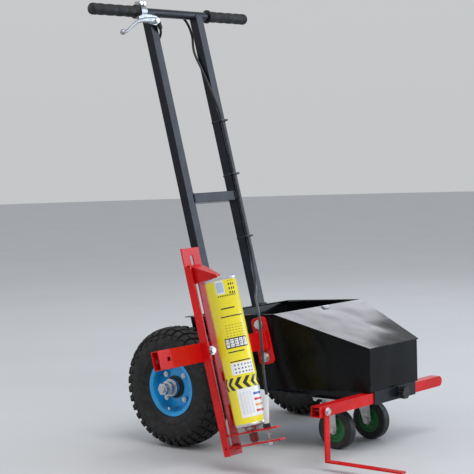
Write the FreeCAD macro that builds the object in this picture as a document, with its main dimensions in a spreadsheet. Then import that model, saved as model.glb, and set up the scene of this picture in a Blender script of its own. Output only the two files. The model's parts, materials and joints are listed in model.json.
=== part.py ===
import FreeCAD, Part
import math
import os
import Sketcher

# Hand-pushed line striping machine: a two-wheeled cart with swivel casters in front, a steel bin,
# a leaning T-handle mast and an outrigger arm that holds an inverted aerosol can over the road.
# Millimetres.  +X is the direction of travel, +Y the machine's left, +Z up.
# The origin is on the ground, under the middle of the rear axle.

Vector = FreeCAD.Vector
UP = Vector(0, 0, 1)
ACROSS = Vector(0, 1, 0)
FORWARD = Vector(1, 0, 0)

DIMENSIONS = {
    # wheels and axle
    "wheel_radius": 130, "tyre_width": 83, "track_half": 217, "rim_radius": 62, "hub_radius": 19,
    "axle_radius": 8, "axle_half_length": 277, "running_gap": 0.05, "clearance": 0.3,
    # mast
    "lean": 14, "tube_size": 22, "tube_wall": 2, "mast_foot_x": 14.5, "mast_half_spacing": 82,
    "crossbar_height": 526, "handle_height": 952, "handle_radius": 10, "handle_half_length": 258,
    "grip_radius": 13, "grip_length": 142, "grip_flange_radius": 16,
    # bin
    "floor_height": 132, "rim_rear_height": 276, "rim_mid_height": 291, "lid_front_height": 223.5,
    "lid_start_x": 216.5, "bin_front_x": 410, "bin_rear_half": 168, "bin_mid_half": 157,
    "bin_front_half": 87, "sheet": 2, "flange_rear_half": 184, "flange_mid_half": 160,
    "flange_inset": 10,
    # base frame and casters
    "rail_spacing_half": 62.5, "caster_pivot_x": 292, "caster_trail": 12, "caster_radius": 42.3,
    "caster_width": 22, "caster_plate": 3, "fork_half_gap": 14, "fork_sheet": 3,
    # guide bar and pointer
    "sleeve_size": 27, "sleeve_half_length": 76, "sleeve_x": 398, "sleeve_height": 118.5,
    "guide_near_y": -260, "guide_far_y": 174, "pointer_y": -241, "pointer_width": 15,
    "pointer_thickness": 4, "pointer_drop_z": 17, "pointer_tip_x": 590, "knob_y": 14,
    # outrigger arm
    "arm_x": 190, "arm_height": 233.8, "arm_depth": 19, "arm_tall": 38, "arm_end_y": -489,
    "arm_hole_y": -462, "arm_hole_radius": 4.5, "arm_plate_y": -159.4, "arm_plate_thickness": 5,
    "arm_plate_width": 40, "arm_plate_tall": 100, "arm_bolt_half": 35,
    # can holder, measured along and across the leaning slotted angle
    "holder_y": -340, "web_half": 26, "web_sheet": 3, "web_low": -212, "web_high": 211,
    "flange_depth": 16.5, "flange_high": 171, "slot_half_width": 4.5, "slot_half_length": 192,
    "can_offset": 62, "can_radius": 32.7, "can_low": -158, "can_high": 134,
    "nozzle_plate_low": -173.5, "trigger_plate_low": -198, "plate_sheet": 3, "plate_reach": 141,
    "trigger_reach": 146, "trigger_pin_a": 17.6, "wire_a": 113,
    # hand lever and brake cable
    "lever_x": -158, "lever_pivot_y": -88, "lever_pivot_z": 931, "cable_radius": 3,
}


class Size:
    """A number together with the spreadsheet expression that gives it."""

    def __init__(self, value, text):
        self.value = float(value)
        self.text = text

    def __add__(self, other):
        other = size(other)
        return Size(self.value + other.value, "(%s + %s)" % (self.text, other.text))

    def __sub__(self, other):
        other = size(other)
        return Size(self.value - other.value, "(%s - %s)" % (self.text, other.text))

    def __mul__(self, other):
        other = size(other)
        return Size(self.value * other.value, "(%s * %s)" % (self.text, other.text))

    def __truediv__(self, other):
        other = size(other)
        return Size(self.value / other.value, "(%s / %s)" % (self.text, other.text))

    def __neg__(self):
        return size(0) - self

    __radd__ = __add__

    def __rsub__(self, other):
        return size(other) - self

    def __rmul__(self, other):
        return size(other) * self


def size(number):
    """Turn a plain number into a Size; a Size stays as it is."""
    if isinstance(number, Size):
        return number
    text = "%.10g" % number
    return Size(number, text if number >= 0 else "(%s)" % text)


def sine(angle):
    return Size(math.sin(math.radians(angle.value)), "sin(%s)" % angle.text)


def cosine(angle):
    return Size(math.cos(math.radians(angle.value)), "cos(%s)" % angle.text)


def tangent(angle):
    return sine(angle) / cosine(angle)


doc = FreeCAD.newDocument("line_striping_machine")
sheet = doc.addObject("Spreadsheet::Sheet", "Dimensions")
for row, (alias, number) in enumerate(DIMENSIONS.items(), 1):
    sheet.set("A%d" % row, alias)
    sheet.set("B%d" % row, "%.10g" % number)
    sheet.setAlias("B%d" % row, alias)
doc.recompute()


def cell(alias):
    return Size(DIMENSIONS[alias], "Dimensions.%s" % alias)


lean = cell("lean")
gap = cell("clearance")
axle_z = cell("wheel_radius")
tube = cell("tube_size")
wall = cell("tube_wall")
SIN, COS = sine(lean), cosine(lean)

nodes = []


# --- building blocks -------------------------------------------------------------------------

def bind(thing, name, number):
    thing.setExpression(name, size(number).text)


def place(thing, x=0, y=0, z=0, axis=None, angle=0):
    """Put a thing at x, y, z, turned about one axis by an angle in degrees."""
    first_turn = size(angle).value if axis is not None else 0
    turn = FreeCAD.Rotation(axis if axis is not None else UP, first_turn)
    thing.Placement = FreeCAD.Placement(Vector(size(x).value, size(y).value, size(z).value), turn)
    bind(thing, "Placement.Base.x", x)
    bind(thing, "Placement.Base.y", y)
    bind(thing, "Placement.Base.z", z)
    if isinstance(angle, Size):
        bind(thing, "Placement.Rotation.Angle", angle)
    return thing


def mast_place(thing):
    """Lean a thing drawn upright about the mast's foot back to the mast's angle."""
    return place(thing, cell("mast_foot_x"), 0, axle_z, ACROSS, -lean)


def holder_place(thing):
    """Lean a thing drawn upright about the outrigger arm's centre line."""
    return place(thing, cell("arm_x"), 0, cell("arm_height"), ACROSS, -lean)


def lean_group(thing):
    """Lean one finished piece that already has its own place."""
    return holder_place(group(thing))


def node(thing, name):
    thing.Label = name
    nodes.append(thing)
    return thing


def box(x0, x1, y0, y1, z0, z1):
    block = doc.addObject("Part::Box", "Block")
    for name, low, high in (("Length", x0, x1), ("Width", y0, y1), ("Height", z0, z1)):
        bind(block, name, size(high) - size(low))
    return place(block, x0, y0, z0)


def cylinder(radius, start, end, centre, along):
    """A round bar from start to end along axis X, Y or Z; centre gives its other two places."""
    bar = doc.addObject("Part::Cylinder", "Bar")
    bind(bar, "Radius", radius)
    bind(bar, "Height", size(end) - size(start))
    if along == "X":
        return place(bar, start, centre[0], centre[1], ACROSS, 90)
    if along == "Y":
        return place(bar, centre[0], start, centre[1], FORWARD, -90)
    return place(bar, centre[0], centre[1], start)


def prism(sides, radius, start, end, centre, along):
    """A hexagonal nut or bolt head."""
    nut = doc.addObject("Part::Prism", "Nut")
    nut.Polygon = sides
    bind(nut, "Circumradius", radius)
    bind(nut, "Height", size(end) - size(start))
    if along == "X":
        return place(nut, start, centre[0], centre[1], ACROSS, 90)
    if along == "Y":
        return place(nut, centre[0], start, centre[1], FORWARD, -90)
    return place(nut, centre[0], centre[1], start)


def cut(base, *tools):
    result = base
    for tool in tools:
        step = doc.addObject("Part::Cut", "Cut")
        step.Base, step.Tool = result, tool
        result = step
    return result


def fuse(*things):
    joined = doc.addObject("Part::MultiFuse", "Joined")
    joined.Shapes = list(things)
    return joined


def common(first, second):
    shared = doc.addObject("Part::MultiCommon", "Shared")
    shared.Shapes = [first, second]
    return shared


def group(*things):
    together = doc.addObject("Part::Compound", "Group")
    together.Links = list(things)
    return together


def round_edges(base, radius, chosen):
    """Fillet the edges of base for which chosen(edge) is true."""
    doc.recompute()
    rounded = doc.addObject("Part::Fillet", "Rounded")
    rounded.Base = base
    numbers = [i for i, edge in enumerate(base.Shape.Edges, 1) if chosen(edge)]
    rounded.Edges = [(i, radius, radius) for i in numbers]
    return rounded


def parallel_to(direction):
    """A test for straight edges that run along a direction."""
    def chosen(edge):
        ends = [vertex.Point for vertex in edge.Vertexes]
        if len(ends) != 2 or not isinstance(edge.Curve, Part.Line):
            return False
        run = ends[1] - ends[0]
        return run.cross(direction).Length < 1e-6 * run.Length
    return chosen


def origin_plane(body, role):
    return [part for part in body.Origin.OriginFeatures if part.Role == role][0]


def outline(body, role, points):
    """A closed sketch through points (u, v), or (u, v, rise) where an arc leaves the point.

    rise is the arc's height over its chord, to the left of the way of travel when positive.
    Every point and every arc radius is bound to the spreadsheet.
    """
    sketch = body.newObject("Sketcher::SketchObject", "Outline")
    sketch.AttachmentSupport = [(origin_plane(body, role), "")]
    sketch.MapMode = "FlatFace"
    spots = [(size(p[0]), size(p[1])) for p in points]
    flat = [Vector(u.value, v.value, 0) for u, v in spots]
    count = len(points)
    for i in range(count):
        here, there = flat[i], flat[(i + 1) % count]
        if len(points[i]) == 3:
            chord = there - here
            left = Vector(-chord.y, chord.x, 0).normalize()
            middle = (here + there) * 0.5 + left * size(points[i][2]).value
            sketch.addGeometry(Part.Arc(here, middle, there), False)
        else:
            sketch.addGeometry(Part.LineSegment(here, there), False)
    ends = []
    for i in range(count):
        forwards = (sketch.getPoint(i, 1) - flat[i]).Length < 1e-6
        ends.append((1, 2) if forwards else (2, 1))
    for i in range(count):
        following = (i + 1) % count
        sketch.addConstraint(
            Sketcher.Constraint("Coincident", i, ends[i][1], following, ends[following][0]))
    for i, (u, v) in enumerate(spots):
        for kind, number in (("DistanceX", u), ("DistanceY", v)):
            index = sketch.addConstraint(
                Sketcher.Constraint(kind, -1, 1, i, ends[i][0], number.value))
            bind(sketch, "Constraints[%d]" % index, number)
        if len(points[i]) == 3:
            next_u, next_v = spots[(i + 1) % count]
            rise = size(points[i][2])
            rise = rise if rise.value > 0 else -rise
            du, dv = next_u - u, next_v - v
            radius = (du * du + dv * dv) / (rise * 8) + rise / 2
            index = sketch.addConstraint(Sketcher.Constraint("Radius", i, radius.value))
            bind(sketch, "Constraints[%d]" % index, radius)
    return sketch


def turned(points, role="XY_Plane"):
    """A turned piece: outline (radius, distance along the axis) revolved once round.

    The axis is Y for role XY_Plane and Z for role XZ_Plane.
    """
    body = doc.addObject("PartDesign::Body", "Turned")
    sketch = outline(body, role, points)
    spin = body.newObject("PartDesign::Revolution", "Revolution")
    spin.Profile = sketch
    spin.ReferenceAxis = (sketch, ["V_Axis"])
    spin.Angle = 360
    return body


def plate(points, role, low, high):
    """A flat piece: outline extruded from low to high along the axis normal to its plane.

    XY_Plane outlines are (x, y) and rise along Z, XZ_Plane outlines are (x, z) and run along Y,
    YZ_Plane outlines are (y, z) and run along X.
    """
    body = doc.addObject("PartDesign::Body", "Plate")
    sketch = outline(body, role, points)
    pad = body.newObject("PartDesign::Pad", "Pad")
    pad.Profile = sketch
    pad.UseCustomVector = True
    pad.Direction = {"XY_Plane": UP, "XZ_Plane": ACROSS, "YZ_Plane": FORWARD}[role]
    bind(pad, "Length", size(high) - size(low))
    shift = {"XY_Plane": (0, 0, low), "XZ_Plane": (0, low, 0), "YZ_Plane": (low, 0, 0)}[role]
    return place(body, *shift)


def square_tube(low, high, centre, across, along):
    """A square tube of outside size across; centre gives its other two places."""
    half = size(across) / 2
    inner = half - wall
    u, v = centre
    spans = []
    for reach in (half, inner):
        spans.append((size(u) - reach, size(u) + reach, size(v) - reach, size(v) + reach))
    outside, inside = spans
    past_low, past_high = size(low) - 1, size(high) + 1
    if along == "X":
        return cut(box(low, high, *outside), box(past_low, past_high, *inside))
    if along == "Y":
        return cut(box(outside[0], outside[1], low, high, outside[2], outside[3]),
                   box(inside[0], inside[1], past_low, past_high, inside[2], inside[3]))
    return cut(box(*outside, low, high), box(*inside, past_low, past_high))


def bolt(radius, start, end, centre, along, head=None, tail=None, washer=None):
    """Shank from start to end with an optional head before start, nut after end, and washer."""
    pieces = [cylinder(radius, start, end, centre, along)]
    if washer:
        pieces.append(cylinder(washer[0], start, size(start) + washer[1], centre, along))
    if head:
        pieces.append(prism(6, head[0], size(start) - head[1], start, centre, along))
    if tail:
        pieces.append(prism(6, tail[0], size(end) - tail[1], end, centre, along))
    return fuse(*pieces)


# --- mast ------------------------------------------------------------------------------------

def mast_x(height):
    """The mast's centre line at a height."""
    return cell("mast_foot_x") - (size(height) - axle_z) * tangent(lean)


half_tube = tube / 2
handle_x = mast_x(cell("handle_height"))
handle_along = (cell("handle_height") - axle_z) / COS
crossbar_along = (cell("crossbar_height") - axle_z) / COS
base_low = cell("floor_height") - tube
mast_face = half_tube / COS


def upright(side):
    """One leg of the mast, coped round the handlebar and the axle, foot cut level."""
    centre_y = cell("mast_half_spacing") * side
    leg = mast_place(square_tube(-20, handle_along, (0, centre_y), tube, "Z"))
    return cut(
        leg,
        cylinder(cell("handle_radius"), centre_y - 30, centre_y + 30,
                 (handle_x, cell("handle_height")), "Y"),
        cylinder(cell("axle_radius") + gap, centre_y - 30, centre_y + 30, (0, axle_z), "Y"),
        box(-60, 80, centre_y - 30, centre_y + 30, 60, cell("floor_height")))


node(upright(-1), "upright_right")
node(upright(1), "upright_left")

crossbar_reach = cell("mast_half_spacing") - half_tube
node(mast_place(square_tube(-crossbar_reach, crossbar_reach, (0, crossbar_along), tube, "Y")),
     "crossbar")

handle_end = cell("handle_half_length")
handle_bore = cell("handle_radius") - wall
node(place(turned([(handle_bore, -handle_end), (cell("handle_radius"), -handle_end),
                   (cell("handle_radius"), handle_end), (handle_bore, handle_end)]),
           handle_x, 0, cell("handle_height")), "handlebar")


def grip(side):
    """Soft sleeve with four finger swells, a domed outer end and an inner flange."""
    bore = cell("handle_radius")
    outer = cell("grip_radius")
    flange = cell("grip_flange_radius")
    length = cell("grip_length")
    start = handle_end + 4 - length
    swell = (length - 10) / 5
    points = [(bore, 0), (flange, 0), (flange, 4), (outer, 5)]
    for i in range(4):
        points.append((outer, swell * (i + 1) + 5))
        points.append((outer - 1, swell * (i + 1) + 6))
        points.append((outer, swell * (i + 1) + 7))
    points += [(outer, length - 3, -0.8), (outer - 3, length), (0, length), (0, length - 3.7),
               (bore, length - 3.7)]
    sleeve = turned(points)
    if side > 0:
        return place(sleeve, handle_x, start, cell("handle_height"))
    return place(sleeve, handle_x, -start, cell("handle_height"), UP, 180)


node(grip(-1), "grip_right")
node(grip(1), "grip_left")


# --- hand lever and cable --------------------------------------------------------------------

lever_x = cell("lever_x")
pivot_y = cell("lever_pivot_y")
pivot_z = cell("lever_pivot_z")
ring_y = -107
bracket_low_x = lever_x - 12

# The cable's own route: out of the perch, round behind the handlebar, down the left upright,
# over the bin's open mouth and down to the stop above the trigger.
CABLE_ROUTE = [
    (-165, -74.9, 930), (-162.5, -69.5, 916.5), (-166.5, -65, 901), (-179, -61, 889), (-198, -59, 885),
    (-216, -56, 893), (-228, -50, 911), (-230, -37, 931), (-223, -14, 947), (-213, 12, 955),
    (-209, 40, 955), (-209, 65, 945), (-208, 81, 924), (-202, 83, 900), (-193, 72.5, 879),
    (-180, 65, 857), (-160, 66.5, 823), (-138, 66.5, 782), (-124, 68, 750), (-117, 75, 720),
    (-107.8, 78, 684), (-91, 76, 615), (-72.8, 79, 542), (-55.6, 77, 473), (-40.3, 79, 412), (-26, 75, 358),
    (-3, 52, 326), (40, 2, 316), (98, -72, 313), (160, -143, 311), (216, -205, 298),
    (263, -258, 272), (303, -303, 236), (330, -333, 198), (341, -340, 161.2),
]

lever_ring = cut(cylinder(16, ring_y - 9, ring_y + 9, (handle_x, cell("handle_height")), "Y"),
                 cylinder(cell("handle_radius"), ring_y - 10, ring_y + 10,
                          (handle_x, cell("handle_height")), "Y"))
lever_ears = cut(
    box(handle_x - 7, handle_x + 7, ring_y - 9, ring_y + 9, cell("handle_height") + 13,
        cell("handle_height") + 23),
    *[cylinder(2.5, handle_x - 9, handle_x + 9, (ring_y + offset, cell("handle_height") + 19), "X")
      for offset in (-5, 5)])
lever_neck = cut(
    box(handle_x, lever_x - 4, ring_y - 9, ring_y + 9, 931, 944),
    cylinder(cell("handle_radius") + 1, ring_y - 12, ring_y + 12, (handle_x, cell("handle_height")), "Y"))
lever_perch = plate([(-140, 938), (-126, 944), (pivot_y + 4, 942), (-78, 939), (-78, 924),
                     (pivot_y, 921), (-114, 926), (-140, 934)], "YZ_Plane", bracket_low_x, lever_x - 4)
perch_bored = cut(lever_perch, cylinder(3, bracket_low_x - 1, lever_x, (pivot_y, pivot_z), "X"))
cable_out = Vector(*CABLE_ROUTE[1]) - Vector(*CABLE_ROUTE[0])
cable_out.normalize()
adjuster = doc.addObject("Part::Cylinder", "Adjuster")
adjuster.Radius = 4.5
adjuster.Height = 9
adjuster.Placement = FreeCAD.Placement(Vector(*CABLE_ROUTE[0]) - cable_out * 9,
                                       FreeCAD.Rotation(Vector(0, 0, 1), cable_out))
node(fuse(lever_ring, lever_ears, lever_neck, perch_bored, adjuster), "lever_bracket")

lever_pin = fuse(
    cylinder(5, bracket_low_x - 2, bracket_low_x, (pivot_y, pivot_z), "X"),
    cylinder(3, bracket_low_x, lever_x + 5, (pivot_y, pivot_z), "X"),
    cylinder(6, lever_x + 3.3, lever_x + 6.3, (pivot_y, pivot_z), "X"))
screw_z = cell("handle_height") + 19
clamp_screws = [
    fuse(cylinder(2.5, handle_x - 8, handle_x + 8, (ring_y + offset, screw_z), "X"),
         cylinder(4.5, handle_x + 8, handle_x + 12, (ring_y + offset, screw_z), "X"))
    for offset in (-5, 5)]
node(group(lever_pin, *clamp_screws), "lever_fasteners")

lever_blade = plate([(pivot_y, pivot_z + 7, 3), (pivot_y + 7, pivot_z - 2, 3), (pivot_y - 4, 923),
                     (-120, 924), (-146, 920), (-168, 910), (-190, 900), (-198, 901), (-193, 908),
                     (-172, 916), (-150, 927), (-122, 932)], "YZ_Plane", lever_x - 3, lever_x + 3)
lever_ball = doc.addObject("Part::Sphere", "Ball")
lever_ball.Radius = 6.5
place(lever_ball, lever_x, -197, 901)
node(cut(fuse(lever_blade, lever_ball),
         cylinder(3 + cell("running_gap"), lever_x - 10, lever_x + 10, (pivot_y, pivot_z), "X")),
     "brake_lever")


def tangent_arc_path(points):
    """Straight runs joined by arcs whose radius is 0.45 of the shorter run over tan(half turn)."""
    spots = [Vector(*point) for point in points]
    edges = []
    radii = []
    here = spots[0]
    for before, corner, after in zip(spots, spots[1:], spots[2:]):
        into, out = corner - before, after - corner
        half_turn = into.getAngle(out) / 2
        reach = 0.45 * min(into.Length, out.Length)
        radius = reach / math.tan(half_turn)
        into.normalize()
        out.normalize()
        start, end = corner - into * reach, corner + out * reach
        inward = (out - into).normalize()
        middle = corner + inward * (radius / math.cos(half_turn) - radius)
        if (start - here).Length > 1e-4:
            edges.append(Part.LineSegment(here, start).toShape())
        edges.append(Part.Arc(start, middle, end).toShape())
        radii.append(radius)
        here = end
    edges.append(Part.LineSegment(here, spots[-1]).toShape())
    return Part.Wire(edges), radii


cable_wire, cable_radii = tangent_arc_path(CABLE_ROUTE)
cable_r = DIMENSIONS["cable_radius"]
start_edge = cable_wire.Edges[0]
start_way = start_edge.tangentAt(start_edge.FirstParameter)
section = Part.Wire(Part.makeCircle(cable_r, Vector(*CABLE_ROUTE[0]), start_way))
cable = doc.addObject("Part::Feature", "Cable")
cable.Shape = cable_wire.makePipeShell([section], True, False, 2)
node(cable, "brake_cable")
print("cable length %.1f mm, radii %s" % (
    cable_wire.Length, " ".join("%.0f" % radius for radius in cable_radii)))
print("cable volume over section times length: %.4f" % (
    cable.Shape.Volume / (math.pi * cable_r ** 2 * cable_wire.Length)))


def strap(height):
    """Band round the left upright at a height, with the cable loose under its front side."""
    along = (size(height) - axle_z) / COS
    near_y, far_y = cell("mast_half_spacing") - half_tube, cell("mast_half_spacing") + half_tube
    band = cut(
        box(-half_tube - 1, half_tube + 8.8, near_y - 1, far_y + 1, along - 2, along + 2),
        box(-half_tube, half_tube + 7.8, near_y, far_y, along - 3, along + 3))
    return mast_place(band)


node(group(*[strap(height) for height in (700, 575, 430)]), "cable_clips")


# --- bin -------------------------------------------------------------------------------------

sheet_metal = cell("sheet")
floor_z = cell("floor_height")
rim_rear = cell("rim_rear_height")
rim_mid = cell("rim_mid_height")
mid_x = cell("lid_start_x")
front_x = cell("bin_front_x")


def rear_face_x(height):
    """Where the bin's rear wall stands against the mast's front faces."""
    return mast_x(height) + mast_face + 0.2


def bin_plan(inset, past=0):
    """The bin's plan: widest at the back, pinched to the narrow front."""
    rear = cell("bin_rear_half") - inset
    middle = cell("bin_mid_half") - inset
    front = cell("bin_front_half") - inset
    back = rear_face_x(rim_rear) - 30
    return [(back, -rear), (mid_x, -middle), (front_x - inset + past, -front),
            (front_x - inset + past, front), (mid_x, middle), (back, rear)]


tray_outside = common(
    plate(bin_plan(0), "XY_Plane", 100, 340),
    plate([(rear_face_x(rim_rear - 2), rim_rear - 2), (mid_x, rim_mid - 2),
           (front_x, cell("lid_front_height") - 2), (front_x, floor_z),
           (rear_face_x(floor_z), floor_z)], "XZ_Plane", -200, 200))
inner_floor = floor_z + sheet_metal
tray_inside = common(
    plate(bin_plan(sheet_metal), "XY_Plane", 100, 340),
    plate([(rear_face_x(rim_rear + 40) + sheet_metal, rim_rear + 40), (front_x + 5, rim_mid + 40),
           (front_x + 5, inner_floor), (rear_face_x(inner_floor) + sheet_metal, inner_floor)],
          "XZ_Plane", -200, 200))
tray_holes = [lean_group(cylinder(4.4, -170, -140, (0, cell("arm_bolt_half") * way), "Y"))
              for way in (-1, 1)]
node(cut(cut(tray_outside, tray_inside), *tray_holes), "bin_tray")

flange_rear = cell("flange_rear_half")
flange_mid = cell("flange_mid_half")
flange_back = rear_face_x(rim_rear)
mouth_back = flange_back + cell("flange_inset")
mouth_rear = cell("bin_rear_half") - sheet_metal
mouth_mid = cell("bin_mid_half") - sheet_metal
flange_ring = cut(
    plate([(flange_back, -flange_rear), (mid_x, -flange_mid), (mid_x, flange_mid),
           (flange_back, flange_rear)], "XY_Plane", 250, 310),
    plate([(mouth_back, -mouth_rear), (mid_x + 1, -mouth_mid), (mid_x + 1, mouth_mid),
           (mouth_back, mouth_rear)], "XY_Plane", 240, 320))
flange_slab = plate([(flange_back, rim_rear - 2), (flange_back, rim_rear), (mid_x, rim_mid),
                     (mid_x, rim_mid - 2)], "XZ_Plane", -200, 200)
node(common(flange_ring, flange_slab), "bin_rim")

lid_lip = 1.5
lid_front = cell("lid_front_height")
lid_slab = plate([(mid_x + 0.2, rim_mid), (front_x + lid_lip, lid_front), (front_x + lid_lip, lid_front - 2),
                  (mid_x + 0.2, rim_mid - 2)], "XZ_Plane", -200, 200)
lid_plan = plate([(mid_x, -cell("bin_mid_half") - lid_lip), (front_x + 5, -cell("bin_front_half") - lid_lip),
                  (front_x + 5, cell("bin_front_half") + lid_lip), (mid_x, cell("bin_mid_half") + lid_lip)],
                 "XY_Plane", 200, 310)
catch_z = rim_mid - 2.2


def catch():
    """Oblong catch through the lid's rear edge."""
    return fuse(cylinder(6, catch_z - 8, catch_z + 2.5, (223, 9), "Z"),
                cylinder(6, catch_z - 8, catch_z + 2.5, (223, 19), "Z"),
                box(217, 229, 9, 19, catch_z - 8, catch_z + 2.5))


node(cut(common(lid_plan, lid_slab), catch()), "bin_lid")
node(catch(), "lid_catch")


# --- base frame ------------------------------------------------------------------------------

rail_y = cell("rail_spacing_half")
sleeve_half = cell("sleeve_size") / 2
sleeve_x = cell("sleeve_x")
sleeve_z = cell("sleeve_height")
base_middle = floor_z - half_tube
for side, name in ((-1, "base_rail_right"), (1, "base_rail_left")):
    node(square_tube(34, sleeve_x - sleeve_half, (rail_y * side, base_middle), tube, "X"), name)

node(square_tube(-93, 93, (23, base_middle), tube, "Y"), "rear_crossmember")

bracket_hole = cell("axle_radius") + cell("running_gap")
for side, name in ((-1, "axle_bracket_right"), (1, "axle_bracket_left")):
    cheek = plate([(-18, 112), (-18, 205, 2), (-10, 210), (4, 208), (mast_x(204) + mast_face, 204),
                   (24, floor_z - 0.4), (100, floor_z - 0.4), (100, base_low + 6), (80, base_low)],
                  "XZ_Plane", -3, 3)
    place(cheek, 0, size(side) * 96.2 - 3, 0)
    node(cut(cheek, cylinder(bracket_hole, side * 96.2 - 5, side * 96.2 + 5, (0, axle_z), "Y")), name)


# --- rear wheels and axle --------------------------------------------------------------------

axle_half = cell("axle_half_length")
node(cylinder(cell("axle_radius"), -axle_half, axle_half, (0, axle_z), "Y"), "axle")

track = cell("track_half")
hub_inner, hub_outer = 27, 40
hardware = []
for side in (-1, 1):
    spacer_start = 99.4
    spacer_end = track - hub_inner - gap
    for radius, start, end in ((12, size(spacer_start), spacer_end),
                               (15.5, track + hub_outer + gap, track + hub_outer + gap + 3)):
        low, high = (start, end) if side > 0 else (-end, -start)
        hardware.append(cut(cylinder(radius, low, high, (0, axle_z), "Y"),
                            cylinder(cell("axle_radius"), low - 1, high + 1, (0, axle_z), "Y")))
    nut_start = track + hub_outer + gap + 3
    low, high = (nut_start, nut_start + 13) if side > 0 else (-nut_start - 13, -nut_start)
    hardware.append(cut(prism(6, 13.5, low, high, (0, axle_z), "Y"),
                        cylinder(cell("axle_radius"), low - 1, high + 1, (0, axle_z), "Y")))
node(group(*hardware), "axle_nuts")


def on_wheel(thing, side):
    """Put a thing drawn about the Y axis, outside towards +Y, on the right or left wheel."""
    return place(thing, 0, track * side, axle_z, UP, 0 if side > 0 else 180)


def tyre():
    """Hollow pneumatic tyre with round shoulders."""
    crown = cell("wheel_radius")
    half = cell("tyre_width") / 2
    bead = cell("rim_radius") - 8
    return turned([
        (bead, -22), (bead + 8.3, -26.8), (bead + 16, -35), (bead + 38, -half, -3), (crown - 9, -half + 7),
        (crown - 1, -16, -1), (crown - 1, 16), (crown - 9, half - 7, -3), (bead + 38, half), (bead + 16, 35),
        (bead + 8.3, 26.8), (bead, 22), (bead, 15), (bead + 14, 26), (bead + 38, half - 8),
        (crown - 17, half - 14), (crown - 9, 14), (crown - 9, -14), (crown - 17, 14 - half),
        (bead + 38, 8 - half), (bead + 14, -26), (bead, -15)])


rim_bolt_spots = []
for quarter in range(4):
    bolt_angle = math.radians(quarter * 90 + 45)
    rim_bolt_spots.append((36 * math.cos(bolt_angle), 36 * math.sin(bolt_angle)))


def rim():
    """Pressed steel rim: rolled lips, drop centre and a coned disc that carries the hub."""
    lip = cell("rim_radius")
    seat = lip - 8.3
    bore = cell("hub_radius") + 0.1
    pressing = turned([
        (lip, 30.5), (lip, 28), (seat + 2, 26.4), (seat, 22.4), (seat, -22.4), (seat + 2, -26.4),
        (lip, -28), (lip, -30.5), (seat, -29), (seat - 2.5, -24), (seat - 2.5, 4), (bore, 11),
        (bore, 14), (seat - 2.5, 7), (seat - 2.5, 24), (seat, 29)])
    return cut(pressing, cylinder(3, 0, 20, (0, -44), "Y"),
               *[cylinder(3.5, 0, 20, spot, "Y") for spot in rim_bolt_spots])


def hub():
    """Hub barrel with a flange behind the disc and stepped bearing ends."""
    bore = cell("axle_radius") + cell("running_gap")
    body = cell("hub_radius")
    return turned([
        (bore, -hub_inner), (15, -hub_inner), (15, -12), (body, -12), (body, 30, -1), (body - 2, 32),
        (15, 32), (15, hub_outer), (bore, hub_outer)])


def rim_bolts():
    """Four bolts through the disc and the valve stem."""
    pieces = []
    for spot in rim_bolt_spots:
        pieces.append(fuse(prism(6, 6.5, 11.8, 16.8, spot, "Y"), cylinder(3.5, 5, 19, spot, "Y")))
    pieces.append(cylinder(3, 6, 38, (0, -44), "Y"))
    return group(*pieces)


for side, name in ((-1, "right"), (1, "left")):
    node(on_wheel(tyre(), side), "tyre_" + name)
    node(on_wheel(rim(), side), "rim_" + name)
    node(on_wheel(hub(), side), "hub_" + name)
    node(on_wheel(rim_bolts(), side), "rim_bolts_" + name)


# --- casters ---------------------------------------------------------------------------------

pivot_x = cell("caster_pivot_x")
caster_x = pivot_x + cell("caster_trail")
caster_z = cell("caster_radius")
plate_low = base_low - cell("caster_plate")
pin_radius = 6


def caster_plate(side):
    """Top plate with the kingpin riveted through it."""
    centre = (pivot_x, rail_y * side)
    return fuse(
        round_edges(box(pivot_x - 34, pivot_x + 34, rail_y * side - 27, rail_y * side + 27,
                        plate_low, base_low), 6, parallel_to(UP)),
        cylinder(pin_radius, plate_low - 13, plate_low, centre, "Z"),
        cylinder(9, plate_low - 14, plate_low - 11.3, centre, "Z"))


node(group(caster_plate(-1), caster_plate(1)), "caster_plates")

node(group(*[fuse(prism(6, 5.5, plate_low - 3, plate_low, (pivot_x + dx, rail_y * side + dy), "Z"),
                  cylinder(3, plate_low - 6, plate_low, (pivot_x + dx, rail_y * side + dy), "Z"))
             for side in (-1, 1) for dx in (-28, 28) for dy in (-21, 21)]), "caster_plate_bolts")


def fork(side):
    """Swivel cup, crown and two legs that carry the caster's axle."""
    centre_y = rail_y * side
    centre = (pivot_x, centre_y)
    inner = cell("fork_half_gap")
    outer = inner + cell("fork_sheet")
    crown_high = plate_low - 8
    crown_low = crown_high - 3
    pieces = [cylinder(23, crown_low, crown_high, centre, "Z"),
              cylinder(20, crown_high, plate_low - gap, centre, "Z"),
              box(pivot_x - 19, pivot_x + 19, centre_y - outer, centre_y + outer,
                  crown_low, crown_high)]
    for low in (centre_y - outer, centre_y + inner):
        pieces.append(plate([(pivot_x - 19, crown_high), (pivot_x + 19, crown_high),
                             (caster_x + 10, caster_z, 9), (caster_x - 10, caster_z)],
                            "XZ_Plane", low, low + cell("fork_sheet")))
    return cut(fuse(*pieces),
               cylinder(pin_radius + 0.3, crown_low - 1, plate_low, centre, "Z"),
               cylinder(9.5, crown_low - 1, crown_low + 0.3, centre, "Z"),
               cylinder(4, centre_y - 30, centre_y + 30, (caster_x, caster_z), "Y"))


def caster_bolt(side):
    centre_y = rail_y * side
    reach = cell("fork_half_gap") + cell("fork_sheet")
    return bolt(4, centre_y - reach, centre_y + reach + 7, (caster_x, caster_z), "Y",
                head=(7.5, 5), tail=(7.5, 6))


def caster_place(thing, side):
    return place(thing, caster_x, rail_y * side, caster_z)


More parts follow.
